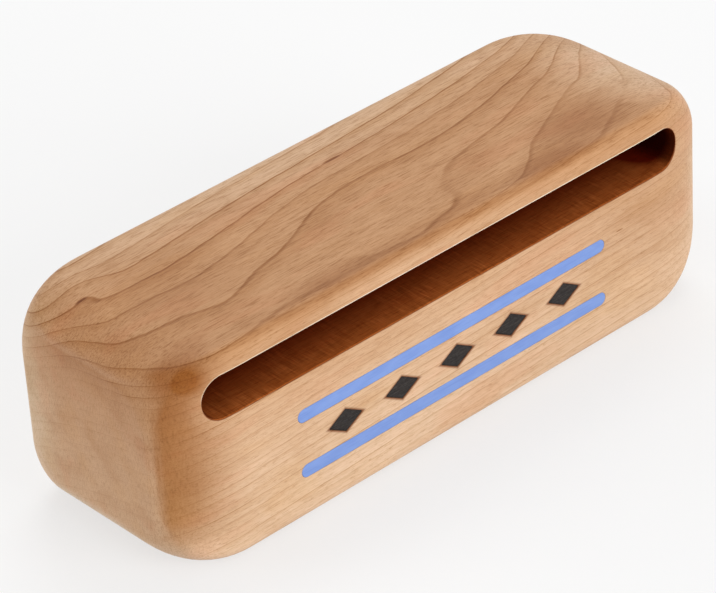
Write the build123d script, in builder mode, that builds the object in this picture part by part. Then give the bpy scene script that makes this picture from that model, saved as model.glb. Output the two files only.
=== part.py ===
"""Woodblock: a maple block with a round-ended slot milled into its front, and a painted band below the slot.

Frame: +X along the length, the slot opens towards -Y, +Z up. Origin at the centre of the underside. Millimetres.
"""
from build123d import *
import math
import os

# Block
length = 198.0
depth = 63.5
height = 63.5
edge_radius = 3.5

# Rounded ends: every side draws in along a quarter ellipse, end_run long, to a smaller end face
end_run = 25.0
side_fall = 9.0
top_fall = 7.7
bottom_fall = 13.2
end_radius = 13.0
end_stations = 10

# Slot: a pocket with round ends, close under the top, that leaves a thin roof, a back wall and two end walls
slot_end_wall = 13.5
slot_width = 12.7
slot_roof = 6.35
slot_back_wall = 12.7
slot_lip = 0.5

# Painted band on the front: two stripes with a row of diamond marks between them, each filling a shallow recess
paint_depth = 0.4
paint_clearance = 0.03
band_height = 23.5
stripe_length = 112.0
stripe_width = 4.0
stripe_pitch = 17.0
mark_count = 5
mark_pitch = 20.0
mark_length = 12.0
mark_width = 7.0

front_face = Plane.XZ.offset(depth / 2)
bar_end = length / 2 - end_run
slot_length = length - 2 * slot_end_wall
slot_height = height - slot_roof - slot_width / 2
slot_depth = depth - slot_back_wall
mouth_reach = slot_width / 2 + slot_lip
stripe_heights = {
    "lower_stripe": band_height - stripe_pitch / 2,
    "upper_stripe": band_height + stripe_pitch / 2,
}
mark_places = [(mark_pitch * (n - (mark_count - 1) / 2), band_height) for n in range(mark_count)]


def diamond(inset):
    """Corners of a diamond mark whose four sides are drawn in by the inset."""
    side = math.hypot(mark_length, mark_width)
    half_length = mark_length / 2 - inset * side / mark_width
    half_width = mark_width / 2 - inset * side / mark_length
    return [(half_length, 0), (0, half_width), (-half_length, 0), (0, -half_width)]


# Wooden block: a bar with eased long edges and a rounded cap on each end, with the slot and the recesses cut in
with BuildPart() as block:
    with BuildSketch(Plane.YZ.offset(-bar_end)):
        with Locations((0, height / 2)):
            RectangleRounded(depth, height, edge_radius)
    extrude(amount=2 * bar_end)

    for station in range(end_stations):
        turn = math.pi / 2 * station / (end_stations - 1)
        closed = 1 - math.cos(turn)
        with BuildSketch(Plane.YZ.offset(bar_end + end_run * math.sin(turn))):
            with Locations((0, (height + (bottom_fall - top_fall) * closed) / 2)):
                RectangleRounded(
                    depth - 2 * side_fall * closed,
                    height - (top_fall + bottom_fall) * closed,
                    edge_radius + (end_radius - edge_radius) * closed,
                )
    cap = loft()
    mirror(cap, about=Plane.YZ)

    with BuildSketch(front_face):
        with Locations((0, slot_height)):
            SlotOverall(slot_length, slot_width)
    extrude(amount=-slot_depth, mode=Mode.SUBTRACT)
    near_front = block.edges(Select.LAST).filter_by_position(Axis.Y, -depth / 2 - slot_lip, side_fall - depth / 2)
    mouth = near_front.filter_by_position(Axis.Z, slot_height - mouth_reach, slot_height + mouth_reach)
    fillet(mouth, slot_lip)

    with BuildSketch(front_face):
        with Locations(*[(0, z) for z in stripe_heights.values()]):
            SlotOverall(stripe_length, stripe_width)
        with Locations(*mark_places):
            Polygon(*diamond(0))
    extrude(amount=-paint_depth, mode=Mode.SUBTRACT)

os.makedirs("parts", exist_ok=True)
block.part.label = "block"
export_step(block.part, "parts/block.step")

# Stripes: long paint fills, flush with the front
for name, stripe_height in stripe_heights.items():
    with BuildPart() as stripe:
        with BuildSketch(front_face):
            with Locations((0, stripe_height)):
                SlotOverall(stripe_length - 2 * paint_clearance, stripe_width - 2 * paint_clearance)
        extrude(amount=-paint_depth)
    stripe.part.label = name
    export_step(stripe.part, f"parts/{name}.step")

# Diamond marks: small black fills, flush with the front, numbered along +X
for number, place in enumerate(mark_places, start=1):
    with BuildPart() as mark:
        with BuildSketch(front_face):
            with Locations(place):
                Polygon(*diamond(paint_clearance))
        extrude(amount=-paint_depth)
    mark.part.label = f"diamond_mark_{number}"
    export_step(mark.part, f"parts/diamond_mark_{number}.step")
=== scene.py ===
"""Looks of the woodblock: sanded maple with a milled slot, a band of blue paint and burned marks.

Sizes of the object are in millimetres, in the CAD model's frame, and become metres with each vertex.
The floor, the lamps and the camera's distance are in metres.
"""
import math
from functools import reduce

import bmesh
import bpy
from mathutils import Matrix, Vector, geometry


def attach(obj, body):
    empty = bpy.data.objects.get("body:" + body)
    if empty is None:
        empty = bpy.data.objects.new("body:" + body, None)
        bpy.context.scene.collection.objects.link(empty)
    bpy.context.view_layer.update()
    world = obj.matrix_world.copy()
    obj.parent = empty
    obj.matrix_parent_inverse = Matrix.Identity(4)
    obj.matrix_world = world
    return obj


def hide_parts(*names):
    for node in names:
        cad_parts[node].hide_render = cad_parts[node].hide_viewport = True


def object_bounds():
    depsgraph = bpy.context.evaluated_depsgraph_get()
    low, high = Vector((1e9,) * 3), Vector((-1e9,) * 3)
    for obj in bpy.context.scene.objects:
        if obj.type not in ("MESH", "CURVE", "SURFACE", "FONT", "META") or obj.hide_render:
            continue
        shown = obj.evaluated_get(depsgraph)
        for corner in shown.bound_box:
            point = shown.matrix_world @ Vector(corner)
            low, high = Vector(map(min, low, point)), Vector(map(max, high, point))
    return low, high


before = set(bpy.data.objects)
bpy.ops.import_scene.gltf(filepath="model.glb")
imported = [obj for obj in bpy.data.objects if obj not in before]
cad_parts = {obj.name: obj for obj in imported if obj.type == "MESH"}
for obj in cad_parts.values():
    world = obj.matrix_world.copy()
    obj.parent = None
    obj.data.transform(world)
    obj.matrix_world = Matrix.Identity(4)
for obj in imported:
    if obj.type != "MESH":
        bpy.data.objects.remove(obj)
cad_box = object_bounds()
scene = bpy.context.scene
scene.view_settings.view_transform = "Standard"
MM = 0.001

# The block, as in the CAD model
length, depth, height = (side / MM for side in cad_box[1] - cad_box[0])
edge_radius = 3.5
end_run = 25.0
side_fall = 9.0
top_fall = 7.7
bottom_fall = 13.2
end_radius = 13.0
bar_end = length / 2 - end_run

# The slot, with an eased lip
slot_half_length = 85.5
slot_half_width = 6.35
slot_height = 50.8
slot_floor = 19.05
slot_lip = 0.5

# The band: recesses with an eased rim, and the paint and char that lie in them with a gap all round
band_height = 23.5
paint_depth = 0.4
rim = 0.15
fill_gap = 0.03
stripe_half_length = 56.0
stripe_half_width = 2.0
stripe_heights = {"lower_stripe": 15.0, "upper_stripe": 32.0}
mark_half_length = 6.0
mark_half_width = 3.5
mark_corner = 0.35
mark_pitch = 20.0
mark_count = 5
mark_names = [f"diamond_mark_{n + 1}" for n in range(mark_count)]
mark_places = {name: mark_pitch * (n - (mark_count - 1) / 2) for n, name in enumerate(mark_names)}

# Edges of the paint and the char, from the recess's floor up, as inset and depth under the front
paint_edge = [(fill_gap, paint_depth), (fill_gap, 0.08), (0.10, 0.02), (0.25, 0.0)]
char_edge = [(fill_gap, paint_depth), (fill_gap, 0.20), (0.14, 0.13), (0.40, 0.10)]

# Mesh density, with the part of each cap that the front's patch of triangles reaches over
bar_step = 2.0
cap_steps = 16
side_steps = 28
corner_steps = 8
slot_lip_steps = 6
slot_wall_steps = 8
rim_steps = 2
recess_wall_steps = 1
patch_cap_steps = 8
patch_step = 2.0
patch_gap = 1.0
merge_gap = 1e-5

# Material slots of the block's mesh
SANDED, MILLED = 0, 1


# Shape

def closing(x):
    """How far an end has drawn in at x: 0 along the bar, 1 at the end face."""
    run = min(max(abs(x) - bar_end, 0) / end_run, 1)
    return 1 - math.sqrt(1 - run * run)


def front_y(x):
    """Where the flat of the front is at x."""
    return side_fall * closing(x) - depth / 2


def section(x):
    """The block's outline across x, as (y, z) points from the foot of the front's flat and up it."""
    drawn = closing(x)
    radius = edge_radius + (end_radius - edge_radius) * drawn
    across = -front_y(x) - radius
    bottom = bottom_fall * drawn + radius
    top = height - top_fall * drawn - radius
    corners = [(-across, bottom), (-across, top), (across, top), (across, bottom)]
    points = []
    for n, (y, z) in enumerate(corners[1:] + corners[:1]):
        turn = math.pi - n * math.pi / 2
        from_y, from_z = corners[n]
        out_y, out_z = radius * math.cos(turn), radius * math.sin(turn)
        for step in range(side_steps):
            part = step / side_steps
            points.append((from_y + (y - from_y) * part + out_y, from_z + (z - from_z) * part + out_z))
        for step in range(corner_steps):
            angle = turn - math.pi / 2 * step / corner_steps
            points.append((y + radius * math.cos(angle), z + radius * math.sin(angle)))
    return points


def stations():
    """Places along the length where the block's outline is drawn."""
    bars = round(2 * bar_end / bar_step)
    bar = [bar_end * (2 * n / bars - 1) for n in range(bars + 1)]
    cap = [bar_end + end_run * math.sin(math.pi / 2 * n / cap_steps) for n in range(1, cap_steps + 1)]
    return [-x for x in reversed(cap)] + bar + cap


class Stadium:
    """A round-ended outline on the front.

    Each of its points is a place from the outline's middle and the way out from there.
    """

    def __init__(self, x, z, half_length, half_width, step=2.0, arc_steps=20):
        self.place = (x, z)
        self.straight = half_length - half_width
        self.radius = half_width
        count = max(2, round(2 * self.straight / step))
        run = [self.straight * (2 * n / count - 1) for n in range(count)]
        arc = [math.pi * n / arc_steps for n in range(arc_steps)]
        self.points = [(u, -half_width, 0, -1) for u in run]
        self.points += [self.arc_point(1, a - math.pi / 2) for a in arc]
        self.points += [(-u, half_width, 0, 1) for u in run]
        self.points += [self.arc_point(-1, a + math.pi / 2) for a in arc]

    def arc_point(self, side, angle):
        """A point of the round end at one side."""
        out = (math.cos(angle), math.sin(angle))
        return (side * self.straight + self.radius * out[0], self.radius * out[1], *out)

    def gap(self, x, z):
        """Distance from the outline, less than 0 inside it."""
        u, v = x - self.place[0], z - self.place[1]
        return math.hypot(max(abs(u) - self.straight, 0), v) - self.radius


class Diamond:
    """A diamond outline on the front with slightly rounded corners, and the same kind of points."""

    def __init__(self, x, z, half_length, half_width, step=0.6, arc_steps=4):
        self.place = (x, z)
        self.halves = (half_length, half_width)
        side = math.hypot(half_length, half_width)
        lean = math.atan2(half_length, half_width)
        inner_length = half_length - mark_corner * side / half_width
        inner_width = half_width - mark_corner * side / half_length
        heads = [(inner_length, 0), (0, inner_width), (-inner_length, 0), (0, -inner_width)]
        turns = [-lean, lean, math.pi - lean, math.pi + lean, 2 * math.pi - lean]
        count = round(side / step)
        self.points = []
        for n, (u, v) in enumerate(heads):
            for k in range(arc_steps):
                self.add(u, v, turns[n] + (turns[n + 1] - turns[n]) * k / arc_steps)
            to_u, to_v = heads[(n + 1) % len(heads)]
            for k in range(count):
                part = k / count
                self.add(u + (to_u - u) * part, v + (to_v - v) * part, turns[n + 1])

    def add(self, u, v, angle):
        """Adds the point that lies out from (u, v) by the corner's radius."""
        out = (math.cos(angle), math.sin(angle))
        self.points.append((u + mark_corner * out[0], v + mark_corner * out[1], *out))

    def gap(self, x, z):
        """Distance from the outline's sides, less than 0 inside it."""
        a, b = self.halves
        u, v = abs(x - self.place[0]), abs(z - self.place[1])
        return (u / a + v / b - 1) * a * b / math.hypot(a, b)


def stripe_outline(z):
    """A stripe's outline at a height."""
    return Stadium(0, z, stripe_half_length, stripe_half_width)


def mark_outline(x):
    """A diamond mark's outline at a place along the block."""
    return Diamond(x, band_height, mark_half_length, mark_half_width)


def ring(bm, outline, out, y_at):
    """Vertices round an outline, moved out along the front by out, at the y that y_at(x) gives."""
    made = []
    for u, v, out_u, out_v in outline.points:
        x = outline.place[0] + u + out_u * out
        z = outline.place[1] + v + out_v * out
        made.append(bm.verts.new(Vector((x, y_at(x), z)) * MM))
    return made


def bridge(bm, outer, inner, material=SANDED):
    """Quads between two rings of equal count."""
    for n in range(len(outer)):
        face = bm.faces.new((outer[n - 1], outer[n], inner[n], inner[n - 1]))
        face.material_index = material


def hollow(bm, outline, lip, lip_steps, floor_y, wall_steps, material=SANDED):
    """A hole in the front: an eased lip, sanded on its outer half, straight walls and a flat floor.

    Gives the ring on the front.
    """
    rings = []
    for n in range(lip_steps + 1):
        turn = math.pi / 2 * n / lip_steps
        sunk = lip * (1 - math.cos(turn))
        rings.append(ring(bm, outline, lip * (1 - math.sin(turn)), lambda x: front_y(x) + sunk))
    for n in range(1, wall_steps + 1):
        part = n / wall_steps
        rings.append(ring(bm, outline, 0, lambda x: (front_y(x) + lip) * (1 - part) + floor_y * part))
    for n, (outer, inner) in enumerate(zip(rings, rings[1:])):
        bridge(bm, outer, inner, material if n >= lip_steps // 2 else SANDED)
    bm.faces.new(rings[-1]).material_index = material
    return rings[0]


def clear_of_edges(x, z, reach, holes):
    """Whether a point of the front lies clear of the patch's border and of the holes."""
    flat = section(x)
    foot, head = flat[0][1], flat[side_steps][1]
    inside = foot + patch_gap < z < head - patch_gap and abs(x) < reach - patch_gap
    return inside and all(outline.gap(x, z) > patch_gap + rim for outline, _ in holes)


def front_patch(bm, rows, holes):
    """Triangles over the flat of the front, between the shell's rows and round the holes."""
    first, last = rows[0], rows[-1]
    border = [row[0] for row in rows] + last[1:side_steps] + [row[side_steps] for row in reversed(rows)]
    border += first[side_steps - 1:0:-1]
    loops = [border] + [front_ring for _, front_ring in holes]
    verts = [v for loop in loops for v in loop]
    owner = [n for n, loop in enumerate(loops) for _ in loop]
    edges, start = [], 0
    for loop in loops:
        count = len(loop)
        edges += [(start + n, start + (n + 1) % count) for n in range(count)]
        start += count
    reach = last[0].co.x / MM
    across = int(reach / patch_step)
    upward = int(height / patch_step)
    for i in range(-across, across + 1):
        for k in range(upward):
            x = i * patch_step
            z = (k + i % 2 / 2) * patch_step
            if clear_of_edges(x, z, reach, holes):
                verts.append(bm.verts.new(Vector((x, front_y(x), z)) * MM))
                owner.append(-1)
    flat_places = [Vector((v.co.x, v.co.z)) / MM for v in verts]
    _, _, triangles, sources, _, _ = geometry.delaunay_2d_cdt(flat_places, edges, [], 0, merge_gap)
    for triangle in triangles:
        corners = [sources[n][0] for n in triangle]
        owners = {owner[n] for n in corners}
        in_hole = len(owners) == 1 and owners.pop() > 0
        if not in_hole:
            bm.faces.new([verts[n] for n in corners])


def new_object(bm, name, *materials):
    """An object in the scene from a bmesh, which is freed."""
    mesh = bpy.data.meshes.new(name)
    bm.to_mesh(mesh)
    bm.free()
    for material in materials:
        mesh.materials.append(material)
    made = bpy.data.objects.new(name, mesh)
    scene.collection.objects.link(made)
    return made


def finish_piece(bm, name, *materials, sharp=40):
    """A piece that rides on the block's body, smooth but for edges of more than sharp degrees."""
    bmesh.ops.recalc_face_normals(bm, faces=bm.faces)
    made = new_object(bm, name, *materials)
    made.data.shade_smooth()
    made.data.set_sharp_from_angle(angle=math.radians(sharp))
    weighted = made.modifiers.new("even normals", "WEIGHTED_NORMAL")
    weighted.keep_sharp = True
    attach(made, "root")
    return made


def build_block(wood, slot_wood):
    """The block's shell with its slot and the recesses of the band."""
    bm = bmesh.new()
    rings = [[bm.verts.new(Vector((x, y, z)) * MM) for y, z in section(x)] for x in stations()]
    first_patch = cap_steps - patch_cap_steps
    last_patch = len(rings) - 1 - first_patch
    around = len(rings[0])
    for n, (left, right) in enumerate(zip(rings, rings[1:])):
        on_patch = first_patch <= n < last_patch
        for k in range(side_steps if on_patch else 0, around):
            bm.faces.new((left[k], left[(k + 1) % around], right[(k + 1) % around], right[k]))
    bm.faces.new(rings[0])
    bm.faces.new(reversed(rings[-1]))

    slot = Stadium(0, slot_height, slot_half_length, slot_half_width)
    holes = [(slot, hollow(bm, slot, slot_lip, slot_lip_steps, slot_floor, slot_wall_steps, MILLED))]
    recesses = [stripe_outline(z) for z in stripe_heights.values()]
    recesses += [mark_outline(x) for x in mark_places.values()]
    recess_floor = paint_depth - depth / 2
    for outline in recesses:
        holes.append((outline, hollow(bm, outline, rim, rim_steps, recess_floor, recess_wall_steps)))
    front_patch(bm, rings[first_patch:last_patch + 1], holes)
    block = finish_piece(bm, "maple_block", wood, slot_wood)
    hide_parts("block")


def build_fill(name, outline, edge, material):
    """Paint or char in a recess, with the given edge."""
    bm = bmesh.new()
    rings = [ring(bm, outline, -inset, lambda x, sunk=sunk: sunk - depth / 2) for inset, sunk in edge]
    bm.faces.new(rings[0])
    for outer, inner in zip(rings, rings[1:]):
        bridge(bm, outer, inner)
    bm.faces.new(rings[-1])
    fill = finish_piece(bm, f"{name}_fill", material, sharp=60)
    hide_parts(name)


# Materials

class Graph:
    """The nodes of a material or a world, called g below, with a short method for each kind in use."""

    # The part of a pattern over which roughness changes
    pattern_range = (0.2, 0.8)

    def __init__(self, owner):
        owner.use_nodes = True
        self.owner = owner
        self.nodes = owner.node_tree.nodes
        self.links = owner.node_tree.links
        is_world = isinstance(owner, bpy.types.World)
        self.shader = self.nodes["Background" if is_world else "Principled BSDF"]

    def put(self, socket, value):
        """Links a socket to another node's output, or sets its value."""
        if isinstance(value, bpy.types.NodeSocket):
            self.links.new(value, socket)
        else:
            socket.default_value = value

    def math(self, operation, *values):
        node = self.nodes.new("ShaderNodeMath")
        node.operation = operation
        for socket, value in zip(node.inputs, values):
            self.put(socket, value)
        return node.outputs[0]

    def add(self, *values):
        return reduce(lambda total, value: self.math("ADD", total, value), values)

    def times(self, *values):
        return reduce(lambda total, value: self.math("MULTIPLY", total, value), values)

    def largest(self, *values):
        return reduce(lambda most, value: self.math("MAXIMUM", most, value), values)

    def absolute(self, value):
        return self.math("ABSOLUTE", value)

    def below(self, value, limit):
        """1 where a value is under a limit, and 0 elsewhere."""
        return self.math("LESS_THAN", value, limit)

    def vector(self, operation, *values):
        node = self.nodes.new("ShaderNodeVectorMath")
        node.operation = operation
        for socket, value in zip(node.inputs, values):
            self.put(socket, value)
        return node.outputs["Value" if operation == "LENGTH" else "Vector"]

    def place(self):
        """The object's own coordinates, in millimetres."""
        in_metres = self.nodes.new("ShaderNodeTexCoord").outputs["Object"]
        return self.vector("MULTIPLY", in_metres, (1 / MM,) * 3)

    def facing(self):
        """The direction that the surface faces, in the object's own frame."""
        return self.nodes.new("ShaderNodeTexCoord").outputs["Normal"]

    def split(self, vector):
        node = self.nodes.new("ShaderNodeSeparateXYZ")
        self.put(node.inputs[0], vector)
        return node.outputs

    def ramp(self, value, low, high, to_low=0.0, to_high=1.0, smooth=True):
        """A number that goes from to_low to to_high while a value goes from low to high."""
        node = self.nodes.new("ShaderNodeMapRange")
        node.interpolation_type = "SMOOTHSTEP" if smooth else "LINEAR"
        for socket, number in zip(node.inputs, (value, low, high, to_low, to_high)):
            self.put(socket, number)
        return node.outputs[0]

    def between(self, factor, start, end):
        """A number from start to end, by a factor from 0 to 1."""
        return self.ramp(factor, 0.0, 1.0, start, end, smooth=False)

    def noise(self, vector, grain, detail=2.0, roughness=0.5):
        """Noise from 0 to 1, whose grains are about as long on each axis as grain says."""
        node = self.nodes.new("ShaderNodeTexNoise")
        self.put(node.inputs["Vector"], self.vector("DIVIDE", vector, grain))
        node.inputs["Scale"].default_value = 1.0
        node.inputs["Detail"].default_value = detail
        node.inputs["Roughness"].default_value = roughness
        return node.outputs["Fac"]

    def noise_along(self, value, run):
        """Noise from 0 to 1 along one value, with swells about run long."""
        node = self.nodes.new("ShaderNodeTexNoise")
        node.noise_dimensions = "1D"
        self.put(node.inputs["W"], self.times(value, 1 / run))
        node.inputs["Scale"].default_value = 1.0
        node.inputs["Detail"].default_value = 0.0
        return node.outputs["Fac"]

    def lot(self, number):
        """A value from 0 to 1 for each whole number, the same on every run."""
        node = self.nodes.new("ShaderNodeTexWhiteNoise")
        node.noise_dimensions = "1D"
        self.put(node.inputs["W"], number)
        return node.outputs["Value"]

    def spot(self, vector, centre, reach):
        """1 at a centre, falling to 0 at reach on each axis."""
        away = self.vector("DIVIDE", self.vector("SUBTRACT", vector, centre), reach)
        return self.ramp(self.vector("LENGTH", away), 0.0, 1.0, 1.0, 0.0)

    def strongest(self, vector, places, least=0.0):
        """The most that any of the places gives, each with a centre, a reach and a strength."""
        most = least
        for centre, reach, strength in places:
            most = self.largest(most, self.times(self.spot(vector, centre, reach), strength))
        return most

    def scaled(self, value, vector, places):
        """A value that becomes a share of itself at places, each with a centre, a reach and a share."""
        for centre, reach, share in places:
            value = self.times(value, self.between(self.spot(vector, centre, reach), 1.0, share))
        return value

    def mix(self, factor, first, second, blend="MIX"):
        node = self.nodes.new("ShaderNodeMix")
        node.data_type = "RGBA"
        node.blend_type = blend
        # The node has sockets for each kind of data: inputs 6 and 7 and output 2 are its colours
        self.put(node.inputs[0], factor)
        self.put(node.inputs[6], first)
        self.put(node.inputs[7], second)
        return node.outputs[2]

    def tint(self, colour, tint, factor):
        """A colour multiplied by a tint, by a factor from 0 to 1."""
        return self.mix(factor, colour, tint, "MULTIPLY")

    def surface(self, colour, pattern, roughness, specular_level=0.5):
        """Sets the surface's colour, specular level, and roughness from low to high over a pattern."""
        low, high = roughness
        self.put(self.shader.inputs["Base Color"], colour)
        self.put(self.shader.inputs["Roughness"], self.ramp(pattern, *self.pattern_range, low, high))
        self.shader.inputs["Specular IOR Level"].default_value = specular_level

    def bump(self, height_map, distance):
        node = self.nodes.new("ShaderNodeBump")
        node.inputs["Distance"].default_value = distance * MM
        self.put(node.inputs["Height"], height_map)
        self.put(self.shader.inputs["Normal"], node.outputs[0])

    def seen(self):
        """1 for rays from the camera, and for gloss and glass that show the background. 0 for light."""
        rays = self.nodes.new("ShaderNodeLightPath").outputs
        return self.largest(rays["Is Camera Ray"], rays["Is Glossy Ray"], rays["Is Transmission Ray"])


# Growth rings: surfaces that climb to the right end and fall, ever more steeply, towards the rear
ring_pitch = 2.8
ring_start = 66.74
ring_climb = -0.045
ring_lean = 0.103
ring_cup = 0.0029
ring_drift = 0.15
ring_waver = 0.16

# How far the lines stray from an even pitch, as a share of it, and over what run of ring height.
# The straying sets in between two ring heights.
ring_stray = 0.35
stray_run = 2.3
stray_height = (63, 57)

# Where in a ring its line and the shade before it rise and fall, from 0 to 1.
# Ramps, here and below, are the low and the high of what they follow, and then what they give there
# if it isn't 0 and 1.
line_rise, line_fall = (0.87, 0.96), (0.965, 1.0, 1.0, 0.0)
shade_rise, shade_fall = (0.35, 0.95), (0.95, 1.0, 1.0, 0.0)

# Strength of lines and shade: the faintest line's share of the boldest, the patches along a line,
# their levels on the front and on the top, and how far they fade below the top of the ends
faint_share = 0.5
line_patches = (0.3, 0.7, 0.55, 1.0)
line_front, line_top = 0.95, 1.2
shade_front, shade_top = 0.6, 1.4
end_fade = 0.66
end_fade_height = (58, 47)

# Places where the rings swell, as centre, reach and height
ring_swells = [
    ((14, -23, 63), (42, 18, 40), 2.1),
    ((-16, -32, 63), (48, 21, 30), 1.9),
    ((22, -33, 63), (26, 6, 30), -2.0),
    ((-8, 3, 63), (42, 17, 40), -1.6),
    ((76, 0, 63), (34, 32, 60), -1.6),
    ((92, 14, 62), (24, 26, 40), -2.6),
    ((24, 27, 63), (66, 16, 40), 1.0),
    ((-80, -2, 63), (22, 28, 40), -1.1),
    ((-83, 18, 62), (14, 11, 20), -2.0),
    ((-87, 14, 62), (9, 6, 10), -0.6),
    ((-99, 6, 60), (13, 18, 16), -2.0),
    ((-60, -14, 63), (18, 12, 20), 0.5),
]

# Pin knots, as centre and half size
pin_knots = [
    ((-86, 14, 62), (3.2, 0.9, 4)),
    ((2.5, 16.3, 63), (5.5, 0.9, 3)),
    ((67, 25.2, 62), (3.0, 0.7, 3)),
    ((62, -31.7, 33.6), (2.4, 1.5, 0.35)),
]

# Places where the ring lines are fainter or bolder, as centre, reach and share
line_places = [
    ((16, -16, 63), (15, 10, 12), 0.2),
    ((80, -14, 62), (22, 16, 12), 0.2),
    ((-36, -25, 63), (26, 7, 6), 0.45),
    ((-96, -18, 55.4), (12, 17, 2.4), 2.6),
]

# Places where the wood is warmer, and painted shade at the front-left corner and along the top's front
# edge, as centre, reach and strength
warmth_and_shade_places = [
    # painted shade with a warm patch, at the top of the front-left corner
    ((-88.5, -28.5, 58.5), (12, 8, 9), 1.25),
    ((80, -32, 30), (75, 8, 46), 0.30),
    ((-70, 0, 63), (34, 24, 10), 0.26),
    # the next two: warm tone and painted shade along the top's front edge
    ((-5, -27, 63.6), (150, 5, 3), 0.28),
    ((-5, -30.3, 62.8), (150, 4, 2.0), 0.38),
    ((43, -28, 63.4), (29, 8, 3.2), 0.72),
    ((61, -20, 63), (26, 13, 12), 0.54),
    ((-38, -26.5, 63), (26, 6, 5), 0.52),
    ((-97, 0, 58), (14, 28, 12), 0.25),
    # painted shade down the front-left corner
    ((-97.2, -26, 36), (2.4, 2.4, 36), 0.78),
    ((42, -32, 6), (44, 6, 18), 0.12),
]

# Painted sheen: places where the heartwood pales towards sapwood, as centre, reach and the share that
# is left of it
sheen_places = [
    ((0, 40, 64), (190, 34, 40), 0.05),
    ((94, -4, 62), (32, 40, 16), 0.15),
    ((-15, -32.5, 59.6), (74, 5, 4.0), 0.68),
]

# Painted reflection and light at the ends' rims: places made paler and whiter, as centre, reach and
# strength
glare_places = [
    ((-99, 25, 38), (20, 17, 46), 1.0),
    ((-97, 4, 8), (14, 34, 6), 0.9),
    ((98, -23, 38), (9, 12, 44), 0.5),
]

# Painted shade where the front turns to the left end: ramps along it, into it, up it, away from the
# slot, and by how far the surface faces the end
left_shade_along = (-70, -96, 0.0, 0.88)
left_shade_into = (-16, -25)
left_shade_up = (4, 20)
left_shade_slot = (0.0, 6.0, 0.6, 1.0)
left_shade_facing = (0.52, 1.0, 1.0, 0.0)

# Painted shade, the same, where the top turns to the left end: its strength, and ramps up it and by how
# far it faces the end
top_left_shade = 0.32
top_left_shade_up = (45, 55)
top_left_shade_rise, top_left_shade_fall = (0.05, 0.3), (0.72, 1.0, 1.0, 0.0)

# Grains of the patterns, along the block, into it and up
drift_grain = (46, 30, 22)
waver_grain = (7, 5, 5)
line_grain = (30, 6, 6)
ray_grain = (0.5, 0.32, 1.7)
mottle_grain = (24, 9, 8)
hue_grain = (40, 10, 12)
fleck_grain = (5.2, 0.32, 0.32)
pore_grain = (1.8, 0.16, 0.16)
pass_grain = (22, 1.6, 1.6)
scratch_grain = (0.6, 6, 6)
scratched_grain = (13, 7, 7)
bristle_grain = (9, 0.5, 0.32)
cloud_grain = (8, 4, 3)
fibre_grain = (4.0, 0.4, 0.30)
crust_grain = (0.9, 0.9, 0.7)

# Ramps that tell how far a surface is end grain, turned to an end, and level
end_grain_ramp = (0.1, 0.95, 1.0, 0.0)
turned_ramp = (0.05, 0.55)
level_ramp = (0.3, 0.9)

# Ramps of the patterns, with the flecks' strength on the front and on the top
ray_ramp = (0.48, 0.68)
pale_ramp, deep_ramp = (0.50, 0.30), (0.50, 0.70)
rosy_ramp, golden_ramp = (0.52, 0.68), (0.48, 0.32)
fleck_ramp, glint_ramp = (0.50, 0.70), (0.50, 0.34)
fleck_front, fleck_top = 0.5, 1.0
pore_ramp = (0.60, 0.72)
knot_ramp = (0.1, 0.7)

# Heights of the patterns as parts of a bump
fleck_height, line_height = 0.7, -0.5
pass_height = 0.5
fibre_height, crust_height = 0.6, 0.6

# Bare wood: heartwood at the top, paler sapwood below, and how late the heartwood sets in
heartwood = (0.487, 0.258, 0.121, 1)
sapwood = (0.648, 0.452, 0.300, 1)
heart_power = 1.5

# Tints that multiply the bare wood
end_tint = (0.84, 0.765, 0.69, 1)
line_tint = (0.58, 0.41, 0.19, 1)
shade_tint = (0.89, 0.825, 0.73, 1)
pale_tint = (1.05, 1.06, 1.08, 1)
deep_tint = (0.93, 0.89, 0.84, 1)
rosy_tint = (1.01, 0.95, 0.93, 1)
golden_tint = (1.00, 0.98, 0.93, 1)
fleck_tint = (0.72, 0.63, 0.52, 1)
glint_tint = (1.09, 1.12, 1.16, 1)
pore_tint = (0.80, 0.72, 0.63, 1)
ray_tint = (0.85, 0.81, 0.75, 1)
warmth_and_shade_tint = (0.54, 0.33, 0.12, 1)
knot_tint = (0.52, 0.36, 0.20, 1)
glare_tint = (1.16, 1.43, 1.70, 1)

# Tints of the slot's upper edge, a painted highlight, and of its lower edge, painted shade, and where
# they fade out, as shares of the lip's width. They set in from the slot's middle over a share of its
# half width, and the upper one changes along it.
arris_highlight_tint = (1.75, 2.75, 4.30, 1)
lip_shade_tint = (0.36, 0.18, 0.07, 1)
arris_highlight_fade = (0.8, 1.3)
lip_shade_fade = (0.4, 1.0)
edge_share = 0.6
arris_highlight_rise, arris_highlight_fall = (20, 60, 0.62, 1.0), (76, 82, 1.0, 0.0)

# Scorched wood round a mark, out to a share of the mark's size, and how deep under the front
scorch_tint = (0.36, 0.22, 0.15, 1)
scorch_share = 1.28
scorch_depth = 1.0

# Tints of the slot: painted shade all over, further in and on its round ends, and the cutter's marks
slot_shade_tint = (0.755, 0.33, 0.12, 1)
inner_shade_tint = (0.28, 0.07, 0.05, 1)
slot_end_shade_tint = (0.30, 0.20, 0.16, 1)
pass_tint = (0.80, 0.74, 0.68, 1)
scratch_tint = (1.25, 1.34, 1.50, 1)
pass_strength = 0.3
slot_line_strength = 0.2

# Ramps of the slot's painted shade: inwards, along it and round its ends; and of the cutter's marks
inner_shade_into = (2.0, 15.0)
inner_shade_along = (74, 86, 0.9, 4.5)
slot_end_shade_ramp = (0.2, 0.8)
pass_ramp = (0.40, 0.68)
scratched_ramp = (0.38, 0.62, 0.2, 1.0)
scratch_dark, scratch_light = (0.48, 0.70), (0.50, 0.32)

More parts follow.
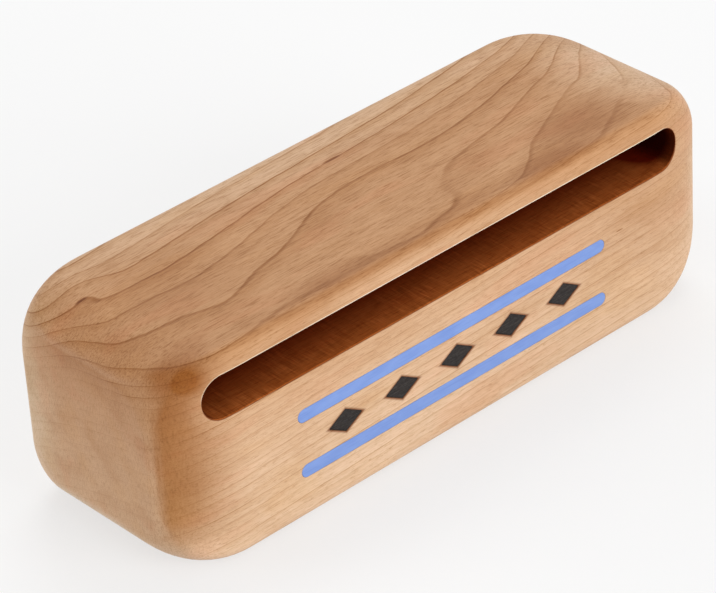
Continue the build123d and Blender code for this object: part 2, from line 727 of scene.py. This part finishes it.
# Paint and char
paint_blue = (0.150, 0.250, 0.570, 1)
paint_light = (0.175, 0.280, 0.600, 1)
paint_dark = (0.110, 0.195, 0.490, 1)
char_black = (0.016, 0.013, 0.012, 1)
char_grey = (0.045, 0.037, 0.033, 1)
cloud_ramp = (0.3, 0.7)
bristle_ramp = (0.52, 0.75, 0.0, 0.4)
char_ramp = (0.45, 0.75)


def ring_height(g, place):
    """The height that is the same all over a growth ring."""
    x, y, z = g.split(place)
    inward = g.add(y, depth / 2)
    cup = g.times(inward, inward, ring_cup)
    level = g.add(z, g.times(inward, ring_lean), cup, g.times(x, ring_climb))
    for centre, reach, swell in ring_swells:
        level = g.add(level, g.times(g.spot(place, centre, reach), swell))
    drift = g.between(g.noise(place, drift_grain, detail=1.5), -ring_drift, ring_drift)
    waver = g.between(g.noise(place, waver_grain), -ring_waver, ring_waver)
    return g.add(level, drift, waver)


def growth_rings(g, place, turned, on_top, line_strength):
    """How strong a growth ring's dark line is at a place, and the softer shade that leads up to it."""
    z = g.split(place)[2]
    level = ring_height(g, place)
    stray = g.between(g.noise_along(level, stray_run), -ring_stray, ring_stray)
    stray = g.times(stray, g.ramp(level, *stray_height))
    turn = g.add(g.math("DIVIDE", g.add(level, -ring_start), ring_pitch), stray)
    number = g.math("FLOOR", turn)
    part = g.math("SUBTRACT", turn, number)
    strength = g.between(g.lot(number), faint_share * line_strength, line_strength)
    patchy = g.ramp(g.noise(place, line_grain), *line_patches)
    shown = g.add(1.0, g.times(turned, g.ramp(z, *end_fade_height), -end_fade))
    shown = g.scaled(shown, place, line_places)
    line = g.times(g.ramp(part, *line_rise), g.ramp(part, *line_fall), strength, patchy)
    line = g.times(line, shown, g.between(on_top, line_front, line_top))
    shade = g.times(g.ramp(part, *shade_rise), g.ramp(part, *shade_fall), strength)
    shade = g.times(shade, shown, g.between(on_top, shade_front, shade_top))
    return line, shade


def end_grain(g):
    """1 where the grain is cut across, on the ends, and 0 along it."""
    off_end = g.vector("LENGTH", g.vector("MULTIPLY", g.facing(), (0, 1, 1)))
    return g.ramp(off_end, *end_grain_ramp)


def slot_gap(g, x, z):
    """Distance on the front from the slot's outline."""
    along = g.largest(g.add(g.absolute(x), slot_half_width - slot_half_length), 0.0)
    up = g.add(z, -slot_height)
    return g.add(g.math("SQRT", g.add(g.times(along, along), g.times(up, up))), -slot_half_width)


def left_end_shade(g, place, endward):
    """How far painted shade darkens the left end, where the front and the top turn to it."""
    x, y, z = g.split(place)
    by_slot = g.ramp(slot_gap(g, x, z), *left_shade_slot)
    on_front = g.times(g.ramp(x, *left_shade_along), g.ramp(y, *left_shade_into), g.ramp(z, *left_shade_up))
    on_front = g.times(on_front, by_slot, g.ramp(endward, *left_shade_facing))
    on_top = g.times(g.ramp(endward, *top_left_shade_rise), g.ramp(z, *top_left_shade_up), g.below(x, 0.0))
    on_top = g.times(on_top, top_left_shade, g.ramp(endward, *top_left_shade_fall))
    return g.largest(on_front, on_top)


def bare_wood(g, place, turned):
    """Colour of the wood without its rings, with end grain, rays, slow changes of tone and painted
    sheen.
    """
    z = g.split(place)[2]
    heart = g.math("POWER", g.ramp(z, 0, height, smooth=False), heart_power)
    # painted sheen: the heartwood's share drops at the sheen places
    colour = g.mix(g.scaled(heart, place, sheen_places), sapwood, heartwood)
    colour = g.tint(colour, end_tint, end_grain(g))
    rays = g.noise(place, ray_grain)
    colour = g.tint(colour, ray_tint, g.times(g.ramp(rays, *ray_ramp), turned))
    mottle = g.noise(place, mottle_grain, detail=3.0)
    colour = g.tint(colour, pale_tint, g.ramp(mottle, *pale_ramp))
    colour = g.tint(colour, deep_tint, g.ramp(mottle, *deep_ramp))
    hue = g.noise(place, hue_grain)
    colour = g.tint(colour, rosy_tint, g.ramp(hue, *rosy_ramp))
    return g.tint(colour, golden_tint, g.ramp(hue, *golden_ramp))


def maple(g, place, line_strength=1.0):
    """Colour of the wood with its whole pattern, with painted shade, sheen and reflection, and the
    flecks and the lines in it.
    """
    across, _, up = g.split(g.facing())
    endward = g.absolute(across)
    turned = g.ramp(endward, *turned_ramp)
    on_top = g.ramp(g.absolute(up), *level_ramp)
    line, shade = growth_rings(g, place, turned, on_top, line_strength)
    colour = g.tint(bare_wood(g, place, turned), shade_tint, shade)
    # warm tone of the wood, and painted shade at the left end, the front-left corner and the top's
    # front edge
    warmth_and_shade = g.strongest(place, warmth_and_shade_places, least=left_end_shade(g, place, endward))
    colour = g.tint(colour, warmth_and_shade_tint, warmth_and_shade)
    # painted reflection at the ends' rims
    colour = g.tint(colour, glare_tint, g.strongest(place, glare_places))
    fleck = g.noise(place, fleck_grain, detail=2.5, roughness=0.6)
    fleck_strength = g.between(on_top, fleck_front, fleck_top)
    colour = g.tint(colour, fleck_tint, g.times(g.ramp(fleck, *fleck_ramp), fleck_strength))
    colour = g.tint(colour, glint_tint, g.times(g.ramp(fleck, *glint_ramp), fleck_strength))
    pore = g.noise(place, pore_grain, detail=1.0)
    colour = g.tint(colour, pore_tint, g.ramp(pore, *pore_ramp))
    colour = g.tint(colour, line_tint, line)
    for centre, reach in pin_knots:
        colour = g.tint(colour, knot_tint, g.ramp(g.spot(place, centre, reach), *knot_ramp))
    return colour, fleck, line


def slot_edge(g, place, side, near, far):
    """1 along the lip of the slot, over it for side 1 and under it for side -1.

    It fades out from near to far, as shares of the lip's width.
    """
    x, y, z = g.split(place)
    outside = g.below(y, side_fall - depth / 2)
    beyond = g.ramp(z, slot_height, slot_height + side * edge_share * slot_half_width)
    close = g.ramp(slot_gap(g, x, z), near * slot_lip, far * slot_lip, 1.0, 0.0)
    return g.times(close, beyond, outside)


def arris_highlight(g, place):
    """1 on the edge over the slot's mouth, where a painted highlight makes it paler than the faces
    beside it.
    """
    x = g.split(place)[0]
    along = g.times(g.ramp(x, *arris_highlight_rise), g.ramp(x, *arris_highlight_fall))
    return g.times(slot_edge(g, place, 1, *arris_highlight_fade), along)


def lower_lip_shade(g, place):
    """1 on the edge under the slot's mouth, where painted shade, the milled wall's dark colour, comes
    out over the lip.
    """
    return slot_edge(g, place, -1, *lip_shade_fade)


def scorch(g, place):
    """1 at the outline of the burned marks, fading out on the front around them."""
    x, y, z = g.split(place)
    along = g.absolute(g.math("WRAP", x, mark_pitch / 2, -mark_pitch / 2))
    up = g.absolute(g.add(z, -band_height))
    mark = g.add(g.times(along, 1 / mark_half_length), g.times(up, 1 / mark_half_width))
    in_band = g.below(g.absolute(x), mark_pitch * mark_count / 2)
    on_front = g.below(y, scorch_depth - depth / 2)
    return g.times(g.ramp(mark, 1.0, scorch_share, 1.0, 0.0), in_band, on_front)


def block_material():
    """Sanded maple, with a painted highlight over the slot's mouth and painted shade under it."""
    g = Graph(bpy.data.materials.new("sanded maple"))
    place = g.place()
    colour, fleck, line = maple(g, place)
    # painted highlight on the edge over the slot's mouth
    colour = g.tint(colour, arris_highlight_tint, arris_highlight(g, place))
    # painted shade on the edge under the slot's mouth
    colour = g.tint(colour, lip_shade_tint, lower_lip_shade(g, place))
    colour = g.tint(colour, scorch_tint, scorch(g, place))
    g.surface(colour, fleck, roughness=(0.40, 0.54), specular_level=0.18)
    g.bump(g.add(g.times(fleck, fleck_height), g.times(line, line_height)), distance=0.03)
    return g.owner


def slot_material():
    """Milled maple, with the cutter's marks along and across, and painted shade, darker inwards and at
    the ends.
    """
    g = Graph(bpy.data.materials.new("milled maple"))
    place = g.place()
    x, y, _ = g.split(place)
    colour, _, _ = maple(g, place, slot_line_strength)
    # painted shade: the whole slot darker, more so inwards and at the right end, and on its round ends
    colour = g.tint(colour, slot_shade_tint, 1.0)
    inner = g.ramp(g.add(y, depth / 2), *inner_shade_into, smooth=False)
    colour = g.tint(colour, inner_shade_tint, g.times(inner, g.ramp(x, *inner_shade_along)))
    endward = g.absolute(g.split(g.facing())[0])
    colour = g.tint(colour, slot_end_shade_tint, g.ramp(endward, *slot_end_shade_ramp))
    passes = g.noise(place, pass_grain, detail=3.0)
    colour = g.tint(colour, pass_tint, g.times(g.ramp(passes, *pass_ramp), pass_strength))
    scratch = g.noise(place, scratch_grain, detail=3.0)
    scratched = g.ramp(g.noise(place, scratched_grain), *scratched_ramp)
    colour = g.tint(colour, pass_tint, g.times(g.ramp(scratch, *scratch_dark), scratched))
    colour = g.tint(colour, scratch_tint, g.times(g.ramp(scratch, *scratch_light), scratched))
    g.surface(colour, passes, roughness=(0.55, 0.75), specular_level=0.05)
    g.bump(g.add(g.times(passes, pass_height), scratch), distance=0.05)
    return g.owner


def paint_material():
    """Blue paint with the strokes of its brush."""
    g = Graph(bpy.data.materials.new("brushed blue paint"))
    place = g.place()
    bristle = g.noise(place, bristle_grain)
    cloud = g.noise(place, cloud_grain)
    colour = g.mix(g.ramp(cloud, *cloud_ramp), paint_blue, paint_light)
    colour = g.mix(g.ramp(bristle, *bristle_ramp), colour, paint_dark)
    g.surface(colour, bristle, roughness=(0.45, 0.6))
    g.bump(bristle, distance=0.04)
    return g.owner


def char_material():
    """Burned wood, with its fibres and a crust."""
    g = Graph(bpy.data.materials.new("burned wood"))
    place = g.place()
    fibre = g.noise(place, fibre_grain, detail=3.0, roughness=0.6)
    crust = g.noise(place, crust_grain, detail=3.0)
    colour = g.mix(g.ramp(fibre, *char_ramp), char_black, char_grey)
    g.surface(colour, crust, roughness=(0.5, 0.8), specular_level=0.25)
    g.bump(g.add(g.times(fibre, fibre_height), g.times(crust, crust_height)), distance=0.10)
    return g.owner


build_block(block_material(), slot_material())
paint = paint_material()
char = char_material()
for name, z in stripe_heights.items():
    build_fill(name, stripe_outline(z), paint_edge, paint)
for name, x in mark_places.items():
    build_fill(name, mark_outline(x), char_edge, char)


# Studio: a pale floor, an even sky and three soft boxes

# The floor's colour as it lights the block and as it is seen, and how far it glows where it is seen
floor_white = (0.90, 0.90, 0.90, 1)
floor_seen = (0.30, 0.30, 0.30, 1)
floor_lift = 0.64
floor_roughness = 0.9
floor_half_width = 30

# The sky's level as it lights the block and as it is seen
sky_light, sky_seen = 0.50, 0.94
white = (1, 1, 1, 1)

# Camera, from the photograph's viewing angle
camera_azimuth = math.radians(-40.97)
camera_elevation = math.radians(33.01)
camera_roll = math.radians(-3.73)
camera_aim = Vector((-4.17, 1.67, 29.48)) * MM
camera_distance = 1.0028
camera_lens = 188.5
camera_sensor = 36


def floor_material():
    """A plain pale surface that keeps the block's shadow."""
    g = Graph(bpy.data.materials.new("pale floor"))
    seen = g.seen()
    g.put(g.shader.inputs["Base Color"], g.mix(seen, floor_white, floor_seen))
    g.shader.inputs["Roughness"].default_value = floor_roughness
    g.shader.inputs["Specular IOR Level"].default_value = 0.0
    g.shader.inputs["Emission Color"].default_value = white
    g.put(g.shader.inputs["Emission Strength"], g.times(seen, floor_lift))
    return g.owner


def build_floor():
    """The floor under the block, which isn't part of the object."""
    bm = bmesh.new()
    bmesh.ops.create_grid(bm, x_segments=1, y_segments=1, size=floor_half_width)
    floor = new_object(bm, "floor", floor_material())


def even_sky():
    """A world that lights evenly and shows as a pale background."""
    g = Graph(bpy.data.worlds.new("even sky"))
    g.shader.inputs["Color"].default_value = white
    g.put(g.shader.inputs["Strength"], g.between(g.seen(), sky_light, sky_seen))
    return g.owner


def soft_box(name, place, size, power, glare=True):
    """A square area light that faces the block, mirrored in glossy surfaces only with glare."""
    light = bpy.data.lights.new(name, "AREA")
    light.size = size
    light.energy = power
    box = bpy.data.objects.new(name, light)
    box.location = place
    towards_block = Vector((0, 0, height / 2 * MM)) - box.location
    box.rotation_euler = towards_block.to_track_quat("-Z", "Y").to_euler()
    box.visible_glossy = glare
    scene.collection.objects.link(box)


def build_camera():
    """The camera, turned to its aim and rolled."""
    back = Vector((
        math.sin(camera_azimuth) * math.cos(camera_elevation),
        -math.cos(camera_azimuth) * math.cos(camera_elevation),
        math.sin(camera_elevation),
    ))
    right = Vector((math.cos(camera_azimuth), math.sin(camera_azimuth), 0))
    turn = Matrix((right, back.cross(right), back)).transposed().to_4x4()
    camera_data = bpy.data.cameras.new("camera")
    camera_data.lens = camera_lens
    camera_data.sensor_width = camera_sensor
    camera = bpy.data.objects.new("camera", camera_data)
    move = Matrix.Translation(camera_aim + back * camera_distance)
    camera.matrix_world = move @ turn @ Matrix.Rotation(camera_roll, 4, "Z")
    scene.collection.objects.link(camera)
    return camera


build_floor()
scene.world = even_sky()
soft_box("key", place=(0.6, -3.5, 1.2), size=2.4, power=104, glare=False)
soft_box("fill", place=(-3.0, 2.5, 0.9), size=2.2, power=68)
soft_box("overhead", place=(1.4, 1.2, 3.0), size=2.0, power=42)
scene.camera = build_camera()
